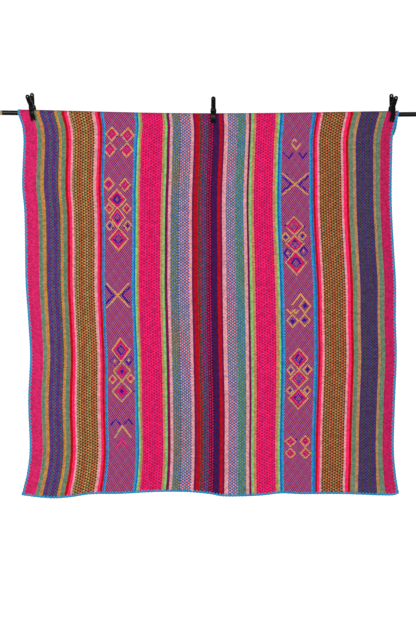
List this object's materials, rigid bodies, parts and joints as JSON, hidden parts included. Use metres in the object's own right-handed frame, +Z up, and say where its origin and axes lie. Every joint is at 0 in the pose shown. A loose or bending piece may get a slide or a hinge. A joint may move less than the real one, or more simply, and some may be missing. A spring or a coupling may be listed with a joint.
{
  "type": "woven rug on a hanging rod",
  "caption": "Striped woven rug of two loom panels with a crocheted edging, folded over a round rod and held there by spring clips.",
  "frame": {"origin": "on the rod's axis at the middle of its length", "axes": "+X along the rod to the viewer's right, +Y from the rug's front to its back, +Z up"},
  "size_m": [1.48, 0.059, 1.3331],
  "materials": {
    "woven_wool": "warp-faced handspun wool, matt",
    "crochet_wool": "crocheted turquoise wool, matt",
    "rod_lacquer": "round wooden rod in gloss black lacquer, one end bare",
    "clip_plastic": "moulded black, semi-gloss",
    "clip_spring": "blackened spring steel"
  },
  "bodies": {
    "root": {"rod": "rod_lacquer", "panel_left": "woven_wool", "panel_right": "woven_wool", "edging_left": "crochet_wool", "edging_right": "crochet_wool", "edging_hem": "crochet_wool", "edging_flap": "crochet_wool", "clip_left_front_arm": "clip_plastic", "clip_left_back_arm": "clip_plastic", "clip_left_spring": "clip_spring", "clip_centre_front_arm": "clip_plastic", "clip_centre_back_arm": "clip_plastic", "clip_centre_spring": "clip_spring", "clip_right_front_arm": "clip_plastic", "clip_right_back_arm": "clip_plastic", "clip_right_spring": "clip_spring"}
  },
  "joints": []
}
